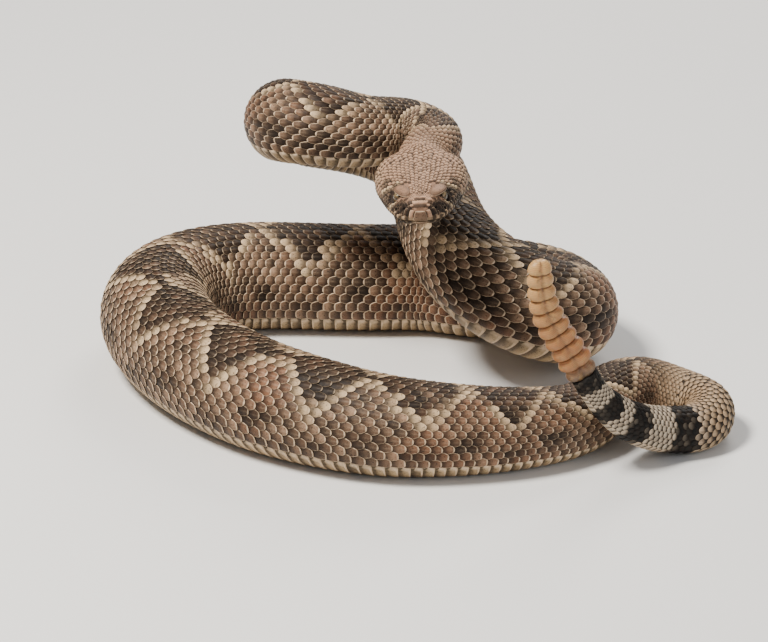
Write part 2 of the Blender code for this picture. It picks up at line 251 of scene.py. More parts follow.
def headShape(behind, angle):
    # A head ring: half * sin^p across and top or bottom * cos^p up, its upper part drawn inward.
    station = -behind / headLength
    inside = np.clip(station, 0, 1)
    half, top, bottom, power, lean = headRingSizes(inside)
    up = np.where(np.cos(angle) > 0, top, bottom) * signedPower(np.cos(angle), power)
    across = half * signedPower(np.sin(angle), power) * drawnIn(up, lean)
    up = np.maximum(up, -body["bellyDepth"] * bottom)
    corner = ease(head["mouthCorner"] - 0.02, head["mouthCorner"] + 0.10, inside)
    below = ease(0.1, 1.4, -up - mouthAt(inside * head["length"])) * corner
    across = across * (1 - head["jawInset"] * below)
    # past the tip the ring closes to a point
    close = np.sqrt(np.clip(1 - (np.clip(station - 1, 0, 1) / head["closing"]) ** 2, 0, 1))
    middle = (top - bottom) / 2
    return headPlace(inside * head["length"] + 1.2 * (1 - close), across * close,
                     middle + (up - middle) * close)


def bodyShape(behind, angle):
    # A body ring: a circle with a flat belly, drawn in at the inner side of tight bends.
    centre, tangent, side, back, bend, radius = spine.read(behind)
    up = np.maximum(np.cos(angle), -body["bellyDepth"])
    offset = (side * np.sin(angle)[..., None] + back * up[..., None]) * radius[..., None]
    amount = np.linalg.norm(bend, axis=-1)
    inward = bend / np.maximum(amount, 1e-6)[..., None]
    reach = np.sum(offset * inward, axis=-1)
    share = np.minimum(1, body["innerShare"] / np.maximum(amount * radius, 1e-6))
    return centre + offset - inward * (np.maximum(reach, 0) * (1 - share))[..., None]


coat = {
    "pitch": 5.05,             # from a scale to the next in its row, where the body's radius is wideRadius
    "wideRadius": 25.0,
    "pitchPower": 0.62,
    "depth": 0.215,            # how deep the scales stand over the skin, in pitches
    "bellyLess": 0.5,
    "bellyEdge": (112, 130),
}


def pitchAt(behind):
    return coat["pitch"] * mm * (spine.radius(behind) / (coat["wideRadius"] * mm)) ** coat["pitchPower"]


def fromTop(angle):
    # degrees from the middle of the back, to either side
    return np.degrees(np.abs((angle + math.pi) % turn - math.pi))


def coatDepth(behind, angle):
    # how deep the scales stand over the skin: by their length, less on the head and the belly
    onBelly = ease(*coat["bellyEdge"], fromTop(angle))
    onBody = coat["depth"] * pitchAt(behind) * (1 - coat["bellyLess"] * onBelly)
    share = ease(0, 14 * mm, behind)
    return head["coat"] * mm * (1 - share) + onBody * share


def outerShape(behind, angle):
    behind, angle = np.broadcast_arrays(np.asarray(behind, float), np.asarray(angle, float))
    points = np.empty(behind.shape + (3,))
    onHead = behind < 0
    for part, shape in ((onHead, headShape), (~onHead, bodyShape)):
        points[part] = shape(behind[part], angle[part])
    return points


def surfaceSteps(behind, angle, length, radians):
    # what a short way along the body and a short way round it cover on the surface
    along = outerShape(behind + length, angle) - outerShape(behind - length, angle)
    around = outerShape(behind, angle + radians) - outerShape(behind, angle - radians)
    return along, around


def outerNormal(behind, angle):
    along, around = surfaceSteps(behind, angle, 0.35 * mm, 0.02)
    return unit(np.cross(around, along))


def skinPoint(behind, angle, lift=0.0):
    # a place on the skin, which lies the coat's depth under the outer surface, raised by lift
    behind, angle = np.broadcast_arrays(np.asarray(behind, float), np.asarray(angle, float))
    raised = (lift - coatDepth(behind, angle))[..., None]
    points = outerShape(behind, angle) + outerNormal(behind, angle) * raised
    points[..., 2] = np.maximum(points[..., 2], 0.1 * mm)
    return points


def spread(behind, angle):
    # the metres that a metre of length and a radian of turn cover on the surface
    length, radians = 0.6 * mm, 0.03
    along, around = [np.linalg.norm(step, axis=-1) for step in surfaceSteps(behind, angle, length, radians)]
    return along / (2 * length), np.maximum(around / (2 * radians), 0.5 * mm)


home = bpy.data.collections.new("rattlesnake")
bpy.context.scene.collection.children.link(home)


def makeMesh(name, points, groups, material, attributes=None, bakeSpots=None):
    # Each group holds faces of one size. An attribute is a value for each point or one for all; one
    # that is left out reads as 0 in the materials.
    data = bpy.data.meshes.new(name)
    data.vertices.add(len(points))
    data.vertices.foreach_set("co", np.asarray(points, np.float32).ravel())
    corners = np.concatenate([group.ravel() for group in groups]).astype(np.int32)
    sizes = np.concatenate([np.full(len(group), group.shape[1]) for group in groups])
    data.loops.add(len(corners))
    data.loops.foreach_set("vertex_index", corners)
    data.polygons.add(len(sizes))
    data.polygons.foreach_set("loop_start", np.concatenate([[0], np.cumsum(sizes)[:-1]]).astype(np.int32))
    data.polygons.foreach_set("use_smooth", np.ones(len(sizes), bool))
    data.update(calc_edges=True)
    for key, values in (attributes or {}).items():
        layer = data.attributes.new(key, "FLOAT", "POINT")
        layer.data.foreach_set("value", (np.zeros(len(points)) + values).astype(np.float32))
    if bakeSpots is not None:
        layer = data.uv_layers.new(name="OFBake")
        layer.uv.foreach_set("vector", np.asarray(bakeSpots, np.float32)[corners].ravel())
    data.validate()
    data.materials.append(material)
    piece = bpy.data.objects.new(name, data)
    home.objects.link(piece)
    return piece


def gridFaces(rows, columns, around):
    # quads between the rows of a grid; around joins its last column to the first
    first = np.arange(rows - 1)[:, None] * columns
    steps = np.arange(columns if around else columns - 1)[None, :]
    after = (steps + 1) % columns
    quads = np.stack([first + steps, first + after, first + columns + after, first + columns + steps], -1)
    return quads.reshape(-1, 4)


def closedTube(grid, ends):
    # points and faces of rings along a tube, with a point at each end
    rows, columns = grid.shape[:2]
    total = rows * columns
    k = np.arange(columns)
    after = (k + 1) % columns
    last = (rows - 1) * columns
    first = np.stack([k, np.full(columns, total), after], -1)
    final = np.stack([last + after, np.full(columns, total + 1), last + k], -1)
    return np.concatenate([grid.reshape(-1, 3), ends]), [gridFaces(rows, columns, True), first, final]


def addNode(tree, kind, settings=None, values=None):
    # settings first, then what its sockets hold or are linked to
    node = tree.nodes.new(kind)
    for key, value in (settings or {}).items():
        setattr(node, key, value)
    for key, value in (values or {}).items():
        fill(tree, node.inputs[key], value)
    return node


def fill(tree, socket, value):
    if isinstance(value, Wire):
        tree.links.new(value.socket, socket)
    elif isinstance(value, tuple) and len(value) == 3 and len(socket.default_value) == 4:
        socket.default_value = (*value, 1)
    else:
        socket.default_value = value


class Wire:
    # A socket of a node tree; arithmetic on it adds Math nodes.
    def __init__(self, tree, socket):
        self.tree = tree
        self.socket = socket

    def maths(self, operation, first, second):
        node = addNode(self.tree, "ShaderNodeMath", {"operation": operation}, {0: first, 1: second})
        return Wire(self.tree, node.outputs[0])

    def __add__(self, other):
        return self.maths("ADD", self, other)

    def __sub__(self, other):
        return self.maths("SUBTRACT", self, other)

    def __mul__(self, other):
        return self.maths("MULTIPLY", self, other)

    def __rsub__(self, other):
        return self.maths("SUBTRACT", other, self)

    def between(self, low, high):
        # 0 at low, 1 at high, eased and held outside
        node = addNode(self.tree, "ShaderNodeMapRange", {"interpolation_type": "SMOOTHSTEP"},
                       {"Value": self, "From Min": low, "From Max": high})
        return Wire(self.tree, node.outputs["Result"])


class Finish:
    # A material in the making; constants go straight onto its shader's sockets.
    def __init__(self, name, **constants):
        self.material = bpy.data.materials.new(name)
        self.material.use_nodes = True
        self.tree = self.material.node_tree
        self.shader = self.tree.nodes["Principled BSDF"]
        for key, value in constants.items():
            self.shader.inputs[key.replace("_", " ")].default_value = value
        self.place = self.node("ShaderNodeTexCoord", "Object")
        self.colour = None

    def node(self, kind, output, settings=None, values=None):
        return Wire(self.tree, addNode(self.tree, kind, settings, values).outputs[output])

    def value(self, name):
        return self.node("ShaderNodeAttribute", "Fac", {"attribute_name": name})

    def noise(self, scale, detail=3.0, rough=0.55):
        return self.node("ShaderNodeTexNoise", "Fac", None,
                         {"Vector": self.place, "Scale": scale, "Detail": detail, "Roughness": rough})

    def mix(self, share, first, second):
        return self.node("ShaderNodeMix", 2, {"data_type": "RGBA"}, {0: share, 6: first, 7: second})

    def tint(self, share, over):
        # lays a share of a colour, or of the coat's colour of that name, over the colour so far
        self.colour = self.mix(share, self.colour, coatColours.get(over, over))

    def done(self):
        self.feed("Base Color", self.colour)
        return self.material

    def feed(self, name, value):
        fill(self.tree, self.shader.inputs[name], value)

    def bump(self, height, strength, distance):
        self.feed("Normal", self.node("ShaderNodeBump", "Normal", None,
                                      {"Height": height, "Strength": strength, "Distance": distance}))


coatColours = {
    "groundGrey": (0.070, 0.044, 0.028),
    "ground": (0.150, 0.086, 0.052),
    "groundPale": (0.320, 0.198, 0.122),
    "rust": (0.230, 0.092, 0.043),
    "dark": (0.010, 0.006, 0.004),
    "darkMiddle": (0.045, 0.022, 0.012),
    "cream": (0.560, 0.400, 0.235),
    "belly": (0.500, 0.360, 0.200),
    "crown": (0.470, 0.270, 0.168),
    "ashen": (0.500, 0.420, 0.320),
    "black": (0.004, 0.0035, 0.003),
    "between": (0.006, 0.004, 0.003),
    # the near black of the painted shade in the hollows of the head
    "pit": (0.010, 0.008, 0.007),
    "rim": (0.680, 0.510, 0.340),
}


def markedColour(finish):
    # ground, then the crown, the blotches, their cream borders, the belly and the tail's rings
    tone = finish.value("tone")
    finish.colour = coatColours["groundGrey"]
    finish.tint(tone.between(0.0, 0.55), "ground")
    finish.tint(tone.between(0.5, 1.0), "groundPale")
    finish.tint(finish.noise(24.0, 2.0).between(0.48, 0.66) * 0.55, "rust")
    inner = finish.mix(tone.between(0.2, 0.95), coatColours["dark"], coatColours["darkMiddle"])
    for name in ("crown", "blotch", "cream", "belly", "ashen", "dark", "black"):
        finish.tint(finish.value(name), inner if name == "blotch" else name)


def skinFinish():
    # between the scales: the same markings but darker, and near black with painted shade in the eye sockets,
    # nostrils, heat pits and the mouth's line
    finish = Finish("skin", Roughness=0.7, Specular_IOR_Level=0.2)
    markedColour(finish)
    finish.tint(0.80 - finish.value("crown") * 0.42, "between")
    # painted shade in the eye sockets, nostrils, heat pits and the mouth's line
    finish.tint(finish.value("pit"), "pit")
    finish.bump(finish.noise(2600.0, 2.0), 0.35, 0.0004)
    return finish.done()


def scaleFinish(name, speck, edgeShare, rootShade, roughness):
    # a thin pale rim round the free edge, painted shade on the root where the scale ahead overlaps it, pepper
    # specks and a faint keel line
    finish = Finish(name, Specular_IOR_Level=0.15)
    tip = finish.value("tip")
    notBlack = (1 - finish.value("black")) * (1 - finish.value("blotch") * 0.55)
    markedColour(finish)
    broad = finish.noise(210.0, 3.0, 0.6)
    finish.tint(broad.between(0.42, 0.75) * 0.20 * notBlack, "groundPale")
    finish.tint(broad.between(0.50, 0.25) * 0.30, "darkMiddle")
    finish.tint(finish.noise(1300.0, 2.0, 0.6).between(0.55, 0.68) * speck * notBlack, "dark")
    finish.tint(finish.noise(3300.0, 2.0, 0.6).between(0.60, 0.70) * 0.35 * notBlack, "cream")
    # painted shade on the root, under the tip of the scale ahead
    finish.tint((1 - tip).between(0.20, 0.68) * rootShade, "dark")
    finish.tint(finish.value("keel") * 0.10 * tip.between(0.3, 0.8) * notBlack, "rim")
    edge = finish.value("rim").between(0.40, 0.78) * tip.between(0.34, 0.60)
    worn = finish.noise(600.0, 2.0).between(0.30, 0.62) * 0.45 + 0.55
    finish.tint(edge * edgeShare * worn * notBlack, "rim")
    finish.feed("Roughness", finish.noise(900.0, 3.0) * 0.24 + roughness)
    finish.bump(finish.noise(4200.0, 2.0) * 0.5 + finish.noise(1200.0, 2.0) * 0.5, 0.25, 0.0003)
    return finish.done()


pattern = {
    "diamondPitch": 1.80,       # one diamond's length, in radii
    "firstDiamond": 80.0,       # the middle of the first one, behind the nape
    "halfLength": 0.47,
    "halfAngle": 57.0,
    # spots between the diamonds and under them: angle, half length in pitches, half height in degrees
    # and how dark they are
    "flankSpot": (82.0, 0.18, 11.0, 0.78),
    "lowSpot": (101.0, 0.15, 8.0, 0.70),
    "bellyEdge": (113, 121),
    "nearHead": (34.0, 2.0),
    "tailEdge": (838.0, 868.0),
    "ringsEdge": (896.0, 908.0),
    "rings": [(909.0, 5.6), (936.0, 4.9), (952.0, 3.5), (969.5, 5.5)],   # place behind the nape, half width
}


def fieldNoise(points, size, seed):
    # smooth noise: a few waves in fixed odd directions, with lengths about size
    draw = np.random.default_rng(seed)
    total = 0
    for k in range(7):
        way = unit(draw.normal(size=3))
        wave = turn / (size * draw.uniform(0.6, 1.6))
        total = total + np.sin(points @ way * wave + draw.uniform(0, turn))
    return total / 4.0


walkAt = np.arange(0, spine.end, 1.0 * mm)
diamondCount = np.cumsum(1.0 * mm / (pattern["diamondPitch"] * spine.radius(walkAt)))
diamondCount = diamondCount - np.interp(pattern["firstDiamond"] * mm, walkAt, diamondCount) + 2.5


def bodyMarks(behind, angle, points):
    # Diamonds where |x| / a + |angle| / b < 1, a cream line round each, and spots on the flanks.
    phase = np.interp(behind, walkAt, diamondCount)
    degrees = fromTop(angle)
    wobble = 0.12 * fieldNoise(points, 9 * mm, 3)
    x = np.abs((phase % 1.0) - 0.5)
    far = x / pattern["halfLength"] + degrees / pattern["halfAngle"] + wobble
    blotch = ease(1.02, 0.94, far)
    middle = ease(0.66, 0.42, far) * ease(-0.4, 0.5, fieldNoise(points, 6 * mm, 33))
    blotch = blotch * (1 - 0.38 * middle)
    for key, off in (("flankSpot", 0.5 - x), ("lowSpot", x)):
        place, half, tall, share = pattern[key]
        spot = np.hypot(off / half, (degrees - place) / tall) + wobble
        blotch = np.maximum(blotch, share * ease(1.15, 0.75, spot))
    cream = ease(0.96, 1.04, far) * ease(1.33, 1.17, far)
    pepper = 0.55 * ease(0.30, 0.85, fieldNoise(points, 4 * mm, 8)) * (1 - cream)
    onTail = ease(*pattern["tailEdge"], behind / mm)
    ringed = ease(*pattern["ringsEdge"], behind / mm)
    nearHead = ease(*pattern["nearHead"], behind / mm)
    black = 0
    for place, half in pattern["rings"]:
        off = np.abs(behind / mm - place) + 0.8 * fieldNoise(points, 6 * mm, 5)
        black = np.maximum(black, ease(half + 0.5, half - 0.5, off))
    return {
        "blotch": blotch * (1 - onTail) * (1 - 0.75 * nearHead),
        "dark": pepper * (1 - 0.6 * onTail) * (1 - nearHead * 0.6),
        "cream": np.maximum(0.88 * cream * (1 - onTail), 0.55 * onTail * (1 - ringed)) * (1 - nearHead),
        "belly": 0.7 * ease(*pattern["bellyEdge"], degrees) * (1 - 0.5 * onTail),
        "crown": 0.8 * nearHead,
        "ashen": 0.85 * ringed,
        "black": np.minimum(1, black * 1.3),
    }


headPattern = {
    # the cream lines: where each crosses the centre line's height, its slant, its half width and the
    # same with its soft edge, and its top
    "rearLine": (25.5, 0.84, 0.75, 1.35, 7.6),
    "frontLine": (38.3, 0.55, 0.60, 1.15, 2.6),
    "spot": (25.6, 14.4, 4.4),
    "throat": (-6.4, -7.8),
}


def headMarks(points):
    # Two cream lines slant down each cheek, dark between them; the muzzle is dark brown, the crown pale.
    along, side, up = headSpot(points)
    away = np.abs(side)
    half = np.maximum(smoothProfile(head["halfWidth"], np.clip(along / head["length"], 0, 1)), 3)
    flank = ease(0.42, 0.58, away / half)
    wobble = 0.35 * fieldNoise(points, 5 * mm, 11)
    offs, lines = [], []
    for place, slant, inner, outer, top in (headPattern["rearLine"], headPattern["frontLine"]):
        offs.append(along - (place + slant * up) + wobble)
        lines.append(ease(outer, inner, np.abs(offs[-1])) * ease(top, top - 1, up) * flank)
    band = ease(0.9, 1.5, offs[0]) * ease(-0.6, -1.2, offs[1]) * flank * ease(7.8, 6.6, up)
    muzzle = ease(0.8, 1.5, offs[1]) * ease(4.8, 3.6, up) * flank * ease(47.8, 46.8, along)
    lips = ease(2.8, 2.2, up + mouthAt(along)) * ease(12, 18, along)
    upperLip = lips * ease(-0.3, 0.2, up + mouthAt(along))
    # cream on the outer bulge of each rear lobe: partly the pale cheek, partly a painted highlight where the
    # bulge faces the light
    lobeCreamAndHighlight = ease(0.70, 0.95, away / half) * ease(26, 18, along) * ease(-2, 2, up)
    spotAlong, spotAway, spotUp = headPattern["spot"]
    toSpot = np.sqrt((along - spotAlong) ** 2 + (away - spotAway) ** 2 + 0.6 * (up - spotUp) ** 2)
    spot = ease(2.7, 1.6, toSpot)
    streak = ease(1.5, 0.6, away) * ease(13, 18, along) * ease(33, 29, along)
    streak = streak * ease(-0.2, 0.4, fieldNoise(points, 3 * mm, 19))
    mottle = ease(0.35, 0.85, fieldNoise(points, 4 * mm, 14))
    throat = ease(*headPattern["throat"], up)
    dark = np.maximum.reduce([0.92 * band, 0.74 * muzzle * (1 - 0.7 * upperLip), 0.85 * spot, 0.55 * streak,
                              0.30 * mottle])
    cream = np.maximum.reduce([*lines, 0.60 * lips * (1 - 0.75 * band), 0.42 * lobeCreamAndHighlight])
    return {"blotch": 0.75 * muzzle * (1 - upperLip), "dark": dark * (1 - lines[0]) * (1 - lines[1]),
            "cream": cream * (1 - 0.8 * spot), "belly": 0.75 * throat, "crown": 0.85 * (1 - throat)}


def marksAt(behind, angle, points):
    onBody = bodyMarks(behind, angle, points)
    onHead = headMarks(points)
    share = ease(6 * mm, -4 * mm, behind)
    return {key: onBody[key] * (1 - share) + onHead.get(key, 0) * share for key in onBody}


skin = {
    "sides": 128, "headStep": 0.5, "bodyStep": 2.2,
    # radius of the opening, radius of its rim and depth, in millimetres
    "socket": (2.30, 3.1, 2.6), "nostril": (0.35, 0.95, 1.1), "pit": (0.5, 1.35, 1.5),
}


def featurePush(points):
    # how far the skin sinks at the eyes, nostrils, heat pits and mouth, and the painted shade that darkens it
    # there
    along, side, up = headSpot(points)
    spot = np.stack([along, np.abs(side), up], -1)
    push = np.zeros(along.shape)
    gaze = unit(np.array(head["gaze"]))
    offset = spot - np.array(head["eye"])
    aside = offset - (offset @ gaze)[..., None] * gaze
    far = np.linalg.norm(aside, axis=-1)
    inner, outer, depth = skin["socket"]
    near = offset @ gaze > -1.5
    push += near * (depth * ease(outer, inner, far) - 0.35 * np.exp(-((far - outer - 0.35) / 0.5) ** 2))
    shade = near * ease(outer + 0.3, inner, far)
    for name in ("nostril", "pit"):
        inner, outer, depth = skin[name]
        far = np.linalg.norm((spot - np.array(head[name])) * [1, 0.6, 1], axis=-1)
        push += depth * ease(outer, inner, far)
        shade = np.maximum(shade, ease(outer, inner * 1.6, far))
    station = along / head["length"]
    corner = ease(head["mouthCorner"] - 0.03, head["mouthCorner"] + 0.03, station)
    groove = np.exp(-((up + mouthAt(along)) / 0.28) ** 2) * corner
    return (push + 0.75 * groove) * mm, np.maximum(shade, 0.9 * groove)


def buildSkin(material):
    # rings at growing distances behind the snout
    noseRows = -headLength * (1 + head["closing"] * np.sin(np.linspace(0.97, 0.12, 7) * math.pi / 2))
    rows = np.concatenate([noseRows, np.arange(-headLength, 0, skin["headStep"] * mm),
                           np.arange(0, spine.tailEnd, skin["bodyStep"] * mm), [spine.tailEnd]])
    angles = np.arange(skin["sides"]) * turn / skin["sides"]
    behind, angle = np.meshgrid(rows, angles, indexing="ij")
    points = skinPoint(behind, angle)
    push, shade = featurePush(points)
    onHead = behind < 0
    points = points - outerNormal(behind, angle) * (push * onHead)[..., None]
    marks = marksAt(behind, angle, points)
    marks["tone"] = 0.5 + 0.25 * fieldNoise(points, 14 * mm, 21)
    # painted shade in these hollows, kept to the head
    marks["pit"] = shade * onHead
    snout = headPlace(49.1, 0, -1.2)
    points, groups = closedTube(points, np.stack([snout, points[-1].mean(0)]))
    values = {key: np.append(mark, mark[[0, -1], 0]) for key, mark in marks.items()}
    print("skin:", len(points), "points")
    return makeMesh("skin", points, groups, material, values)


keeled = {
    "rows": [0.0, 0.22, 0.45, 0.68, 0.86, 0.95, 1.0],
    "columns": [-1.0, -0.82, -0.3, 0.0, 0.3, 0.82, 1.0],
    "rise": 0.165, "dome": 0.035, "keel": 0.035, "drop": 0.050, "base": -0.01,
    "widest": 0.42, "tipWidth": 0.18, "sharp": 0.60,
}
smooth = dict(keeled, columns=[-1.0, -0.82, -0.3, 0.3, 0.82, 1.0], keel=0.0, dome=0.055, tipWidth=0.32,
              sharp=0.5)
fine = dict(keeled, rows=[0.0, 0.3, 0.6, 0.87, 1.0], columns=[-1.0, -0.7, 0.0, 0.7, 1.0], keel=0.05,
            dome=0.06, tipWidth=0.22, sharp=0.56)
plain = dict(fine, keel=0.0, dome=0.09, rise=0.12, tipWidth=0.50, sharp=0.42)
plate = dict(plain, rows=[0.0, 0.14, 0.5, 0.86, 1.0], columns=[-1.0, -0.78, 0.0, 0.78, 1.0], rise=0.02,
             dome=0.13, drop=0.11, base=0.01, tipWidth=0.80)
scute = dict(plain, rows=[0.0, 0.3, 0.6, 0.85, 1.0], columns=np.linspace(-1, 1, 17), rise=0.10, dome=0.0,
             drop=0.04, tipWidth=0.93)


def scaleTemplate(shape):
    # One scale over u, from root to tip, and v, across.
    u, v = np.meshgrid(shape["rows"], shape["columns"], indexing="ij")
    widest, tipWidth = shape["widest"], shape["tipWidth"]
    beforeWidest = np.clip((widest - u) / widest, 0, 1)
    pastWidest = np.clip((u - widest) / (1 - widest), 0, 1)
    if tipWidth > 0.7:
        width = 1 - (1 - tipWidth) * (pastWidest ** 6 + beforeWidest ** 6)
    else:
        width = tipWidth + (1 - tipWidth) * (1 - pastWidest ** 2.1) ** shape["sharp"]
        width = width * (1 - 0.30 * beforeWidest ** 1.8)
    height = (shape["base"] + shape["rise"] * u
              + shape["dome"] * (1 - v * v) * np.sin(math.pi * np.clip(u, 0.03, 0.97))
              + shape["keel"] * np.exp(-(v / 0.17) ** 2) * ease(0, 0.25, u) * ease(1.02, 0.80, u)
              - shape["drop"] * np.abs(v) ** 4 * ease(0, 0.4, u) * ease(1.1, 0.7, u)
              - 0.3 * shape["drop"] * ease(0.85, 1.0, u))
    rim = np.maximum(np.clip((np.abs(v) - 0.7) / 0.3, 0, 1), np.clip((u - 0.8) / 0.2, 0, 1))
    keelLine = np.exp(-(v / 0.16) ** 2) * (shape["keel"] > 0) * ease(0.05, 0.3, u)
    index = np.arange(u.size).reshape(u.shape)
    left, right = index[:, 0], index[:, -1]
    under = np.stack([left[:-1], left[1:], right[1:], right[:-1]], -1)
    faces = [gridFaces(*u.shape, False), under, index[:1, ::-1], index[-1:]]
    shading = {"rim": rim.ravel(), "tip": u.ravel(), "keel": keelLine.ravel()}
    return u.ravel(), v.ravel(), (v * width).ravel(), height.ravel(), faces, shading


def rootTable(behind, angle, halfLength, halfWidth, size, twist=0.0, raised=0.0):
    # where each scale stands, its half sizes, what its height is measured by, its turn and its lift
    names = ("behind", "angle", "halfLength", "halfWidth", "size", "twist", "raised")
    return dict(zip(names, np.broadcast_arrays(behind, angle, halfLength, halfWidth, size, twist, raised)))


def growScales(name, roots, shape, material):
    # Every scale is the template laid on the skin by its root's place, half sizes and turn.
    u, v, outline, height, faces, shading = scaleTemplate(shape)
    behind, angle, halfLength, halfWidth, size, twist, raised = [row[:, None] for row in roots.values()]
    stretchAlong, stretchAround = spread(behind, angle)
    # where a bend squeezes or pulls the skin a scale follows it in part
    x = (u - shape["widest"]) * 2 * (halfLength * np.clip(stretchAlong, 0.45, 1.35))
    y = outline * halfWidth
    rear = x * np.cos(twist) - y * np.sin(twist)
    across = x * np.sin(twist) + y * np.cos(twist)
    here = np.minimum(behind + rear / np.maximum(stretchAlong, 0.3), spine.tailEnd + 1.0 * mm)
    points = skinPoint(here, angle + across / stretchAround, height * size + raised)
    count = len(behind)
    rootPoints = skinPoint(roots["behind"], roots["angle"])
    marks = marksAt(roots["behind"], roots["angle"], rootPoints)
    marks = {"tone": 0.46 + 0.24 * fieldNoise(rootPoints, 22 * mm, 21) + rng.normal(0, 0.20, count),
             **{key: mark * (1 + rng.normal(0, 0.09, count)) for key, mark in marks.items()}}
    values = {key: np.repeat(np.clip(mark, 0, 1), len(u)) for key, mark in marks.items()}
    values.update({key: np.tile(row, count) for key, row in shading.items()})
    start = np.arange(count)[:, None, None] * len(u)
    groups = [(face[None] + start).reshape(-1, face.shape[1]) for face in faces]
    spotU = 0.02 + 0.96 * (behind - spine.start) / (spine.end - spine.start) + 0.003 * (u - 0.5)
    spotV = 0.01 + 0.98 * ((angle / turn + 0.5) % 1.0) + 0.0015 * v
    spots = np.stack([spotU, spotV], -1).reshape(-1, 2)
    print(name + ":", count, "scales,", sum(len(g) * (g.shape[1] - 2) for g in groups), "triangles")
    return makeMesh(name, points.reshape(-1, 3), groups, material, values, spots)


scaleRows = {
    # the number of rows, the lowest one's outer angle from the middle of the back, and how much broader
    # the low rows are
    "body": {"count": 25, "edge": 118.0, "lower": 0.45},
    "tail": {"count": 17, "edge": 128.0, "lower": 0.30},
    "tailStart": 868.0,
    "overlap": 0.68,           # half a scale's length, in pitches
    "broad": 0.665,            # half a scale's width, in row spacings
    "pieces": [0, 0.17, 0.34, 0.52, 0.70, 1.1],
    "scuteLength": 0.64,
}
pitchCount = np.cumsum(1.0 * mm / pitchAt(walkAt))


def rowTable(kind):
    # number, angle and spacing of the rows side by side round the back, the lowest ones wider
    count = scaleRows[kind]["count"]
    number = np.arange(count) - (count - 1) / 2
    widths = 1 + scaleRows[kind]["lower"] * (np.abs(number) / (count / 2)) ** 5
    edges = np.concatenate([[0], np.cumsum(widths)])
    middles = (edges[:-1] + edges[1:]) / 2 - edges[-1] / 2
    edge = math.radians(scaleRows[kind]["edge"])
    return number, middles / edges[-1] * 2 * edge, widths / edges[-1] * 2 * edge


def rowRoots(kind, first, last):
    # a scale every pitch along each row; each second row is shifted by half a pitch
    number, angles, spacing = rowTable(kind)
    start, end = np.interp([first, last], walkAt, pitchCount)
    place, row = np.meshgrid(np.arange(math.floor(start), end + 1), np.arange(len(number)), indexing="ij")
    row = row.ravel()
    behind = np.interp(place.ravel() + 0.5 * (row % 2), pitchCount, walkAt)
    keep = (behind >= first) & (behind < last - 0.4 * mm)
    behind, row = behind[keep], row[keep]
    pitch = pitchAt(behind)
    behind = np.maximum(behind + rng.normal(0, 0.02, len(behind)) * pitch, 0)
    angle = angles[row] + rng.normal(0, 0.02, len(behind)) * spacing[row]
    grow = 1 + rng.normal(0, 0.035, len(behind))
    halfWidth = scaleRows["broad"] * spacing[row] * spread(behind, angle)[1] * grow
    return number[row], rootTable(behind, angle, scaleRows["overlap"] * pitch * grow, halfWidth, pitch,
                                  rng.normal(0, 0.035, len(behind)))


def chosenPart(roots, chosen):
    return {key: values[chosen] for key, values in roots.items()}


def bodyScales(material):
    # lengths small enough for one mesh each; the two lowest rows are smooth
    number, roots = rowRoots("body", 0.0, scaleRows["tailStart"] * mm)
    low = np.abs(number) > 10.5
    pieces = []
    for k, (start, end) in enumerate(zip(scaleRows["pieces"], scaleRows["pieces"][1:])):
        here = (roots["behind"] >= start) & (roots["behind"] < end)
        pieces.append(growScales(f"back_scales_{k + 1}", chosenPart(roots, here & ~low), keeled, material))
    return pieces + [growScales("flank_scales", chosenPart(roots, low), smooth, material)]


def tailScales(material):
    roots = rowRoots("tail", scaleRows["tailStart"] * mm, spine.tailEnd)[1]
    return [growScales("tail_scales", roots, keeled, material)]


def bellyScutes(material):
    # a broad plate for each pitch, from flank to flank
    places = np.arange(0.5, np.interp(spine.tailEnd, walkAt, pitchCount) - 0.3, 1.0)
    behind = np.interp(places, pitchCount, walkAt)
    pitch = pitchAt(behind)
    onBody = behind < scaleRows["tailStart"] * mm
    edge = np.where(onBody, scaleRows["body"]["edge"], scaleRows["tail"]["edge"])
    halfWidth = np.radians(181.5 - edge) * spread(behind, np.full(len(behind), math.pi))[1]
    roots = rootTable(behind, math.pi, scaleRows["scuteLength"] * pitch, halfWidth, pitch * 0.9)
    return [growScales("belly_scutes", roots, scute, material)]


def flankAngle(along, up):
    # the ring angle where the flank of the head has a given height
    half, top, bottom, power, lean = headRingSizes(np.clip(along / head["length"], 0, 1))
    ratio = np.clip(np.abs(up) / np.where(up > 0, top, bottom), 0, 0.999)
    return np.arccos(np.sign(up) * ratio ** (1 / power))


def crownAngle(along, side):
    # the ring angle where the top of the head lies a given way from its middle
    half, top, bottom, power, lean = headRingSizes(np.clip(along / head["length"], 0, 1))
    up = top
    for k in range(4):
        sine = np.clip(np.abs(side) / (half * drawnIn(up, lean)), 0, 0.98) ** (1 / power)
        up = top * (1 - sine ** 2) ** (power / 2)
    return np.sign(side) * np.arcsin(sine)


def mirrored(rows):
    # rows for the left side, then the same for the right, and their signs
    return np.tile(np.array(rows, float), (2, 1)), np.repeat([1.0, -1.0], len(rows))


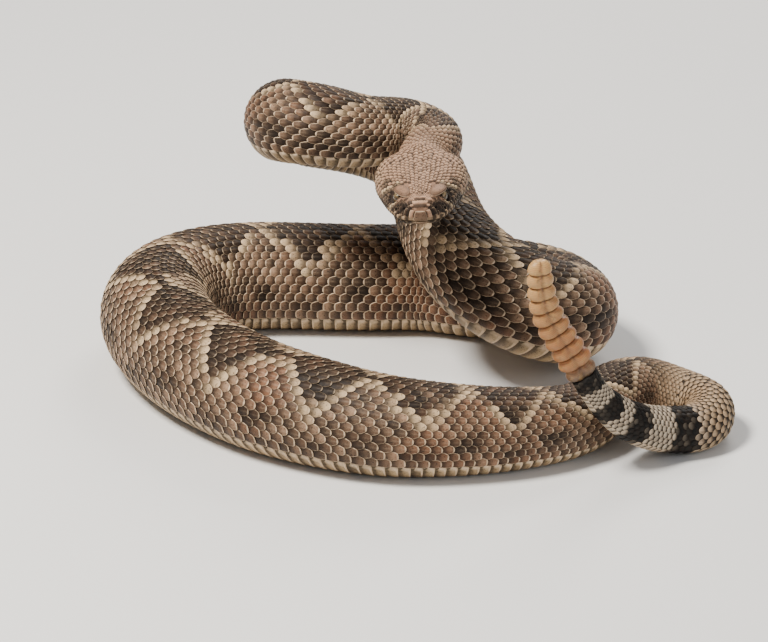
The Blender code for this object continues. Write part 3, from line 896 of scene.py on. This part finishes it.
headScales = {
    "pitch": 2.35, "lastRow": 41.0, "lipHeight": 2.55, "labials": 15,
    # plates on the side of the muzzle: along, height, half length, half width, turn
    "flankPlates": [(48.15, 0.7, 0.75, 1.35, 0), (47.0, 1.2, 0.95, 1.5, 0), (44.7, 1.5, 0.95, 1.6, 0),
                    (43.2, 3.0, 1.0, 1.1, 0), (41.3, 4.0, 1.2, 1.0, 10), (43.9, -0.7, 1.0, 0.85, 0),
                    (41.9, 2.1, 0.9, 0.7, 0), (40.0, 0.4, 0.9, 0.8, 0), (40.3, -1.4, 1.1, 0.75, -10),
                    (42.3, -1.9, 1.0, 0.6, 0), (37.2, -0.75, 1.7, 0.62, 0), (34.2, -0.2, 1.3, 0.7, 18)],
    # plates on its top: along, side, half length, half width, turn
    "crownPlates": [(46.6, 1.7, 1.2, 1.6, 0), (45.0, 4.4, 1.35, 1.25, -14), (42.6, 6.0, 1.5, 1.3, -12),
                    (44.2, 1.5, 1.2, 1.35, 0)],
    # rings of small plates: what they go round, their radius, number and half size
    "rings": [("eye", 3.05, 14, 0.66), ("pit", 1.75, 8, 0.58)],
    # long shields under the chin: along, side, half length, half width, turn
    "chinShields": [(43.0, 1.5, 2.6, 1.35, 5.0), (38.2, 1.7, 2.4, 1.3, 3.0)],
    # shields at the tip, over the mouth and under it: bottom, top and half width at each
    "snoutShields": [(-2.85, 1.5, 3.3, 2.2), (-4.45, -3.45, 1.8, 2.6)],
    "shieldCurve": (4.6, 5.4), "shieldFront": (47.0, 1.75), "shieldBack": (46.2, 1.2),
    "plateDepth": 2.2,
    # small scales: where their rows begin and end and the way between them, and a scale's half length,
    # half width and height
    "muzzleRows": (41.0, 47.6, 0.85), "muzzleSize": (0.82, 0.60, 1.3),
    "chinRows": (-1.0, 45.5, 1.55), "chinSize": (2.3, 1.5, 2.25), "chinSpacing": 2.5,
}
fan = np.linspace(0, math.pi, 361)      # ring angles from the top to the bottom


def arcsFromTop(along):
    # lengths round the head's ring from its top to each angle of the fan
    return lengthAlong(outerShape(np.full(len(fan), -along * mm), fan))


def ringAngle(along, arc):
    # the angle on the head's ring at a length round it from its top, to either side
    return np.sign(arc) * np.interp(np.abs(arc), arcsFromTop(along), fan)


def headRowScales(material):
    # The body's rows run on over the head, spreading round its lobes, down to the plates of the lip.
    number, angles, spacing = rowTable("body")
    bodyEdge = math.radians(scaleRows["body"]["edge"])
    table = []
    along, step = 0.0, 0
    while True:
        pitch = headScales["pitch"] * (1 - 0.28 * ease(24, 40, along))
        along, step = along + pitch / 2, step + 1
        if along > headScales["lastRow"]:
            break
        rows = np.arange(step % 2, len(number), 2)
        arcs = arcsFromTop(along)
        lip = flankAngle(np.array(along), headScales["lipHeight"] - mouthAt(along))
        toLip = ease(8, 17, along)
        edge = (1 - toLip) * np.interp(bodyEdge, fan, arcs) + toLip * np.interp(lip, fan, arcs)
        share = angles[rows] / bodyEdge
        around = ringAngle(along, share * edge)
        width = 0.60 * spacing[rows] / bodyEdge * edge
        table.append(np.broadcast_arrays(-along * mm, around, width, 0.74 * pitch * mm))
    behind, angle, width, length = np.concatenate(table, axis=1)
    behind = behind + rng.normal(0, 0.12, len(behind)) * mm
    angle = angle + rng.normal(0, 0.006, len(behind))
    width = width * (1 + rng.normal(0, 0.07, len(behind)))
    # no scales where the eyes and the brows are
    along, side, up = headSpot(outerShape(behind, angle))
    away = np.abs(side)
    toEye = np.hypot(along - head["eye"][0], up - head["eye"][2] - 0.2) + 9 * (away < 6)
    ahead, out = along - head["brow"][0], away - head["brow"][1]
    cosine, sine = math.cos(head["browTurn"]), math.sin(head["browTurn"])
    toBrow = np.hypot((ahead * cosine + out * sine) / 6.0, (out * cosine - ahead * sine) / 3.0)
    keep = (toEye > 3.65) & ((toBrow > 0.95) | (up < 3.5))
    roots = rootTable(behind, angle, length, width, 2.3 * mm, rng.normal(0, 0.10, len(behind)))
    return growScales("crown_scales", chosenPart(roots, keep), fine, material)


def muzzleScales(material):
    # small scales under the plates of the muzzle, in a close quincunx
    along = np.arange(*headScales["muzzleRows"])
    arcs = np.arange(-16, 17)
    angle = np.concatenate([ringAngle(place, (arcs + 0.5 * (k % 2)) * mm) for k, place in enumerate(along)])
    behind = np.repeat(-along * mm, len(arcs))
    ahead, side, up = headSpot(outerShape(behind, angle))
    keep = up > headScales["lipHeight"] - mouthAt(ahead) - 0.3
    for name in ("pit", "nostril"):
        far = np.hypot(ahead - head[name][0], up - head[name][2])
        keep &= (far > 1.5) | (np.abs(side) < 4)
    roots = rootTable(behind, angle, *np.array(headScales["muzzleSize"]) * mm)
    return growScales("muzzle_scales", chosenPart(roots, keep), plain, material)


def plateSet(name, rows, material):
    # plates from rows of along, angle, half length, half width, turn and height over the skin
    table = [np.broadcast_arrays(*row) for row in rows]
    along, angle, length, width, twist, raised = np.concatenate(table, axis=1)
    size = headScales["plateDepth"] * mm * np.minimum(1, width / 0.9)
    roots = rootTable(-along * mm, angle, length * mm, width * mm, size, twist, raised * mm)
    return growScales(name, roots, plate, material)


def headPlates(material):
    # The larger plates: muzzle, a ring round each eye and pit, and the lips.
    plates = []
    for key, angleAt, raised in (("flankPlates", flankAngle, 0.13), ("crownPlates", crownAngle, 0.16)):
        rows, sign = mirrored(headScales[key])
        along, place, length, width, twist = rows.T
        angle = sign * angleAt(along, place)
        plates.append((along, angle, length, width, sign * np.radians(twist), raised))
    for feature, radius, count, size in headScales["rings"]:
        clock = np.tile(np.arange(count) * turn / count, 2)
        sign = np.repeat([1.0, -1.0], count)
        along = head[feature][0] + radius * np.cos(clock)
        up = head[feature][2] - 0.1 + radius * 0.95 * np.sin(clock)
        low = up < 5.6
        angle = sign * flankAngle(along, up)
        plates.append((along[low], angle[low], size, size * 1.12, (sign * clock)[low], 0.12))
    # the lips: a row of plates above the mouth and a row below it
    place = np.linspace(16.2, 46.9, headScales["labials"])
    rows, sign = mirrored(place[:, None])
    along = rows[:, 0]
    mouth = mouthAt(along)
    bottom = smoothProfile(head["bottom"], along / head["length"])
    lower = np.minimum(1.02, 0.40 * (bottom * 0.93 - mouth))
    reach = (place[1] - place[0]) / 2 * 1.02
    lips = [(along, sign * flankAngle(along, 1.30 - mouth), reach, 1.16, 0, 0.03),
            (along, sign * flankAngle(along, -0.20 - lower - mouth), reach, lower, 0, 0.03)]
    return [plateSet("muzzle_plates", plates, material), plateSet("lip_plates", lips, material)]


def chinScales(material):
    # smooth scales in a quincunx under the jaw, and two pairs of long shields behind the chin's tip
    behind, angle = [], []
    for step, along in enumerate(np.arange(*headScales["chinRows"])):
        arcs = arcsFromTop(along)
        upper = math.radians(118) if along < 12 else flankAngle(np.array(along), -mouthAt(along) - 2.2)
        fromBelow = (np.arange(-9, 10) + 0.5 * (step % 2)) * headScales["chinSpacing"] * mm
        fromBelow = fromBelow[np.abs(fromBelow) < arcs[-1] - np.interp(upper, fan, arcs)]
        angle.append(ringAngle(along, np.where(fromBelow < 0, -1, 1) * (arcs[-1] - np.abs(fromBelow))))
        behind.append(np.full(len(fromBelow), -along * mm))
    sizes = np.array(headScales["chinSize"]) * mm
    roots = rootTable(np.concatenate(behind), np.concatenate(angle), *sizes)
    rows, sign = mirrored(headScales["chinShields"])
    along, side, length, width, twist = rows.T
    around = spread(-along * mm, np.full(len(along), math.pi))[1] / mm
    shields = [(along, math.pi - sign * side / around, length, width, -sign * np.radians(twist), 0.20)]
    return [growScales("chin_scales", roots, plain, material), plateSet("chin_shields", shields, material)]


def snoutShields(material):
    # the shields over and under the mouth: each is a row of rings round its domed front and its back
    u, v = np.meshgrid(np.linspace(-1, 1, 13), np.linspace(-1, 1, 13), indexing="ij")
    edge = np.maximum(np.abs(u), np.abs(v))
    (wide, tall), (front, frontRise), (back, backRise) = [
        headScales[key] for key in ("shieldCurve", "shieldFront", "shieldBack")]
    tubes = []
    for low, high, halfLow, halfHigh in headScales["snoutShields"]:
        height = low + (high - low) * (v + 1) / 2
        side = u * (halfLow + (halfHigh - halfLow) * (v + 1) / 2) * (1 - 0.10 * np.abs(v) ** 3)
        bulge = np.sqrt(np.clip(1 - (side / wide) ** 2 - ((height + 1.2) / tall) ** 2, 0, 1))
        fore = headPlace(front + frontRise * bulge + 0.28 * (1 - edge ** 4), side, height)
        rear = headPlace(back + backRise * bulge, side * 0.97, height)
        grid = np.concatenate([fore[:, ::-1], rear], axis=1)
        tubes.append(closedTube(grid, grid[[0, -1]].mean(1)))
    points = np.concatenate([tube[0] for tube in tubes])
    groups = [group + k * len(tube[0]) for k, tube in enumerate(tubes) for group in tube[1]]
    rim = np.clip(edge * 4 - 3.2, 0, 0.8)
    rim = np.append(np.concatenate([rim[:, ::-1], rim], axis=1), [0.8, 0.8])
    values = {key: np.clip(mark, 0, 1) for key, mark in headMarks(points).items()}
    values.update(crown=0.55 * values["crown"], cream=0.35 * values["cream"],
                  dark=np.maximum(values["dark"], 0.22), rim=np.tile(rim, 2), tone=0.50, tip=0.55)
    return makeMesh("snout_shields", points, groups, material, values)


brow = {
    "rings": 25, "sides": 56,
    "halfWidth": 2.85, "halfLength": 6.1,
    "above": 1.15, "below": 0.75,      # its thickness over and under its edge
    "tilt": math.radians(7),
}


def brows(material):
    # The shield over each eye: a flattened oval, ridged along its edge and turned inward at the snout.
    sides = np.arange(brow["sides"]) * turn / brow["sides"]
    u, v = np.meshgrid(np.linspace(0, 1, brow["rings"]), sides, indexing="ij")
    ring = np.sin(u * math.pi) ** 0.75
    upward = np.cos(u * math.pi)
    x = brow["halfWidth"] * ring * np.cos(v)
    y = brow["halfLength"] * ring * signedPower(np.sin(v), 0.92)
    ridges = 0.06 * np.sin(ring * 30) * ease(0.25, 0.6, ring) * (upward > 0)
    z = np.where(upward > 0, brow["above"], brow["below"]) * signedPower(upward, 0.8) + ridges
    z = z - 0.10 * x - 0.016 * y ** 2 + 0.15
    aside, tilt = -head["browTurn"], brow["tilt"]
    x, y = x * math.cos(aside) - y * math.sin(aside), x * math.sin(aside) + y * math.cos(aside)
    x, z = x * math.cos(tilt) + z * math.sin(tilt), -x * math.sin(tilt) + z * math.cos(tilt)
    along, side, up = head["brow"]
    edge = np.append(ring[1:-1], [0, 0])
    values = {"crown": 0.68, "blotch": 0.10 + 0.30 * ease(0.5, 0.9, edge), "tone": 0.42, "tip": 0.70,
              "dark": 0.16 + 0.35 * (0.5 + 0.5 * np.sin(edge * 42)) * ease(0.4, 0.8, edge),
              "rim": 0.8 * ease(0.975, 1.0, edge)}
    pieces = []
    for name, sign in (("brow_left", 1), ("brow_right", -1)):
        grid = headPlace(along - y, sign * (side + x), up + z)[:, ::-sign]
        points, groups = closedTube(grid[1:-1], grid[[0, -1], 0])
        pieces.append(makeMesh(name, points, groups, material, values))
    return pieces


eyeSteps = {"rings": 26, "sides": 40}
eyeColours = {
    "iris": (0.135, 0.080, 0.034),
    "irisDark": (0.018, 0.011, 0.006),
    "irisRim": (0.42, 0.31, 0.16),
    "pupil": (0.002, 0.002, 0.002),
}


def eyeFinish():
    # A tall slit pupil with a pale edge in a speckled iris, under a wet clear surface.
    finish = Finish("eye", Roughness=0.16, IOR=1.4, Coat_Weight=0.35, Coat_Roughness=0.03,
                    Specular_IOR_Level=0.35)
    across = finish.value("eyeAcross")
    up = finish.value("eyeUp")
    slit = across * across * 46.0 + up * up * 1.9
    far = across * across + up * up
    finish.colour = eyeColours["irisDark"]
    finish.tint(finish.noise(1500.0, 3.0, 0.6).between(0.40, 0.62), eyeColours["iris"])
    finish.tint(up.between(0.0, 0.5) * 0.25, eyeColours["irisRim"])
    finish.tint(slit.between(1.9, 1.15) * 0.8, eyeColours["irisRim"])
    finish.tint(slit.between(1.08, 0.92), eyeColours["pupil"])
    finish.tint(far.between(0.62, 0.86), eyeColours["irisDark"])
    return finish.done()


def eyes(material):
    # A ball whose pole looks along the gaze, slightly flattened toward it.
    sides = -np.arange(eyeSteps["sides"]) * turn / eyeSteps["sides"]
    polar, v = np.meshgrid(np.linspace(0, 1, eyeSteps["rings"]) * math.pi, sides, indexing="ij")
    across, up = np.sin(polar) * np.cos(v), np.sin(polar) * np.sin(v)
    # the back of the ball is kept off the pupil
    values = {"eyeAcross": np.append((across + (polar > 1.8))[1:-1], [0, 1]),
              "eyeUp": np.append(up[1:-1], [0, 1])}
    pieces = []
    for name, sign in (("eye_ball_left", 1.0), ("eye_ball_right", -1.0)):
        gaze = unit(np.array(head["gaze"]) * [1, sign, 1])
        upward = np.array([-0.12, 0, 1])
        upward = unit(upward - (upward @ gaze) * gaze)
        level = np.cross(upward, gaze)
        spot = np.array(head["eye"]) * [1, sign, 1] + head["eyeRadius"] * (
            gaze * (np.cos(polar) * 0.97)[..., None] + level * across[..., None] + upward * up[..., None])
        grid = headPlace(spot[..., 0], spot[..., 1], spot[..., 2])
        points, groups = closedTube(grid[1:-1], grid[[0, -1], 0])
        pieces.append(makeMesh(name, points, groups, material, values))
    return pieces


rattle = {
    "segments": 10,
    # half a segment's height: the first, the second, and how much is lost by the last
    "firstSize": 6.8, "size": 7.5, "less": 2.3, "power": 2.0,
    "flat": 0.72,
    "groove": 0.30, "grooveWidth": 0.26, "notchWidth": 0.15,
    "growthLines": 8,
    # its size along a segment, whose ends stand in its neighbours
    "swell": [(-0.07, 0.55), (-0.03, 0.66), (0, 0.76), (0.08, 0.89), (0.20, 0.97), (0.40, 1.01), (0.60, 0.98),
              (0.80, 0.88), (0.93, 0.78), (1.0, 0.71), (1.03, 0.66), (1.07, 0.52)],
    "lastSwell": [(-0.07, 0.55), (-0.03, 0.66), (0, 0.76), (0.10, 0.94), (0.25, 1.0), (0.45, 0.96),
                  (0.65, 0.86), (0.82, 0.70), (0.93, 0.54), (1.0, 0.36), (1.03, 0.22), (1.07, 0.08)],
    "base": (0.13, 0.085, 0.052),
    "amber": (0.34, 0.140, 0.045),
    "pale": (0.54, 0.315, 0.115),
    # the dark brown of the painted shade in the joints and grooves, also laid on the mottle and the growth
    # lines
    "creaseShade": (0.030, 0.013, 0.006),
}


def rattleFinish():
    # grey brown at the base, amber, then golden toward the tip; dark brown mottle, fine growth lines, and
    # painted shade in the joints and along the grooves
    finish = Finish("rattle_horn", IOR=1.5, Specular_IOR_Level=0.45, Subsurface_Weight=0.08)
    older = finish.value("older")
    lines = finish.value("lines")
    finish.colour = rattle["base"]
    finish.tint(older.between(0.0, 0.16), rattle["amber"])
    finish.tint(older.between(0.25, 1.0) * 0.75, rattle["pale"])
    finish.tint(finish.noise(260.0, 4.0, 0.65).between(0.45, 0.72) * 0.55, rattle["pale"])
    finish.tint(finish.noise(520.0, 4.0, 0.7).between(0.52, 0.70) * 0.45, rattle["creaseShade"])
    finish.tint(lines.between(0.2, 1.0) * 0.22, rattle["creaseShade"])
    # painted shade where each segment nests in its neighbours and along the groove
    finish.tint(finish.value("creaseShade") * 0.85, rattle["creaseShade"])
    finish.feed("Roughness", finish.noise(700.0, 3.0) * 0.25 + 0.30)
    finish.bump(finish.noise(2400.0, 3.0) * 0.5 + lines * 0.5, 0.3, 0.0003)
    return finish.done()


def rattleSegments(material):
    # Each segment swells, then narrows into the next; a groove runs along both broad sides.
    count, sides = rattle["segments"], 72
    pitch = body["rattleLength"] / count
    angle = np.arange(sides) * turn / sides
    tall, wide = np.cos(angle), np.sin(angle)
    steps = np.concatenate([[-0.07, -0.03], np.linspace(0, 1, 25), [1.03, 1.07]])[:, None]
    depth = rattle["groove"] * (0.75 + 0.25 * np.cos(turn * (steps - 0.45)))
    groove = np.exp(-((tall / rattle["grooveWidth"]) ** 2)) * depth
    lines = 0.5 + 0.5 * np.sin(steps * turn * rattle["growthLines"] + 0.6 * np.sin(3 * angle))
    # painted shade along the groove, deeper toward the segment's ends
    shade = 0.3 + 0.5 * ease(0.4, 0.9, np.abs(steps - 0.42) * 2)
    grooveShade = np.exp(-((tall / rattle["notchWidth"]) ** 2)) * shade
    pieces = []
    for k in range(count):
        last = k == count - 1
        size = rattle["size"] - rattle["less"] * (k / (count - 1)) ** rattle["power"]
        if k == 0:
            size = rattle["firstSize"]
        swell = smoothProfile(rattle["lastSwell" if last else "swell"], steps)
        behind = spine.tailEnd + (k + (np.minimum(steps, 1.0) if last else steps)) * pitch * mm
        centre, tangent, side, back = spine.read(behind)[:4]
        reach = size * mm * swell * (1 - groove) * (1 + 0.006 * lines)
        grid = (centre + back * (reach * tall)[..., None]
                + side * (reach * wide * rattle["flat"])[..., None])
        points, groups = closedTube(grid, centre[[0, -1], 0])
        # painted shade at both ends of a segment, where it nests in its neighbours
        creaseShade = 0.9 * ease(0.10, 0.0, steps) + (0 if last else 1) * ease(0.90, 1.0, steps)
        older = np.broadcast_to((k + steps) / count, lines.shape)
        values = {"older": np.append(older, older[[0, -1], 0]), "lines": np.append(lines, [0, 0]),
                  "creaseShade": np.append(np.maximum(creaseShade, grooveShade), [1, 0.5])}
        pieces.append(makeMesh(f"rattle_segment_{k + 1:02d}", points, groups, material, values))
    return pieces


view = {
    "camera": (-0.0126, -1.7349, 0.8414),
    "tilt": math.radians(65),
    "lens": 36 * 4318.18 / 768,
    "floor": (0.80, 0.79, 0.77), "floorShade": (0.72, 0.71, 0.69), "floorReach": 3.0,
    "sky": (0.95, 0.97, 1.0), "skyPower": 0.30,
    # soft lamps: name, place, aim, size, power, colour
    "lamps": [("key", (-0.60, -0.35, 1.25), (0, 0, 0.04), 0.35, 38, (1.0, 0.955, 0.89)),
              ("fill", (1.2, -0.9, 0.8), (0, 0, 0.05), 1.1, 7, (0.95, 0.97, 1.0)),
              ("rim", (0.4, 1.2, 1.0), (0, 0, 0.06), 0.7, 14, (1.0, 0.97, 0.93))],
}


def setTheStage():
    scene = bpy.context.scene
    corners = np.array([(-1, -1, 0), (1, -1, 0), (1, 1, 0), (-1, 1, 0)]) * view["floorReach"]
    finish = Finish("floor", Roughness=0.85)
    finish.feed("Base Color", finish.mix(finish.noise(3.0, 2.0) * 0.08, view["floor"], view["floorShade"]))
    makeMesh("floor", corners, [np.array([[0, 1, 2, 3]])], finish.material)
    for name, place, aim, size, power, colour in view["lamps"]:
        lamp = bpy.data.lights.new(name, "AREA")
        lamp.size, lamp.energy, lamp.color = size, power, colour
        holder = bpy.data.objects.new(name, lamp)
        holder.location = place
        holder.rotation_euler = (Vector(aim) - Vector(place)).to_track_quat("-Z", "Y").to_euler()
        scene.collection.objects.link(holder)
    scene.world = bpy.data.worlds.new("studio")
    scene.world.use_nodes = True
    sky = scene.world.node_tree.nodes["Background"].inputs
    sky[0].default_value = (*view["sky"], 1)
    sky[1].default_value = view["skyPower"]
    camera = bpy.data.objects.new("camera", bpy.data.cameras.new("camera"))
    camera.location = view["camera"]
    camera.rotation_euler = (view["tilt"], 0, 0)
    camera.data.sensor_width = 36
    camera.data.lens = view["lens"]
    camera.data.clip_start = 0.01
    scene.collection.objects.link(camera)
    scene.camera = camera


# the fourth number is how much painted shade lies on each scale's root
bodyMaterial = scaleFinish("body_scale", 0.75, 0.95, 0.76, 0.44)
tailMaterial = scaleFinish("tail_scale", 0.45, 0.35, 0.96, 0.44)
headMaterial = scaleFinish("head_scale", 0.62, 0.55, 0.88, 0.42)
skinPiece = buildSkin(skinFinish())
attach(skinPiece, "root")
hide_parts(*[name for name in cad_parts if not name.startswith(("rattle", "eye"))])
coats = {
    "scaled_skin": bodyScales(bodyMaterial) + bellyScutes(bodyMaterial),
    "tail_skin": tailScales(tailMaterial),
    "head_skin": [headRowScales(headMaterial), muzzleScales(headMaterial), snoutShields(headMaterial)]
    + headPlates(headMaterial) + chinScales(headMaterial) + brows(headMaterial),
}
for slot, pieces in coats.items():
    for piece in pieces:
        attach(piece, "root")
for piece, node in zip(eyes(eyeFinish()), ("eye_left", "eye_right")):
    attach(piece, "root")
    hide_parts(node)
for k, piece in enumerate(rattleSegments(rattleFinish())):
    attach(piece, "root")
    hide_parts(f"rattle_{k + 1:02d}")
print("scales, eyes and rattle made")
setTheStage()
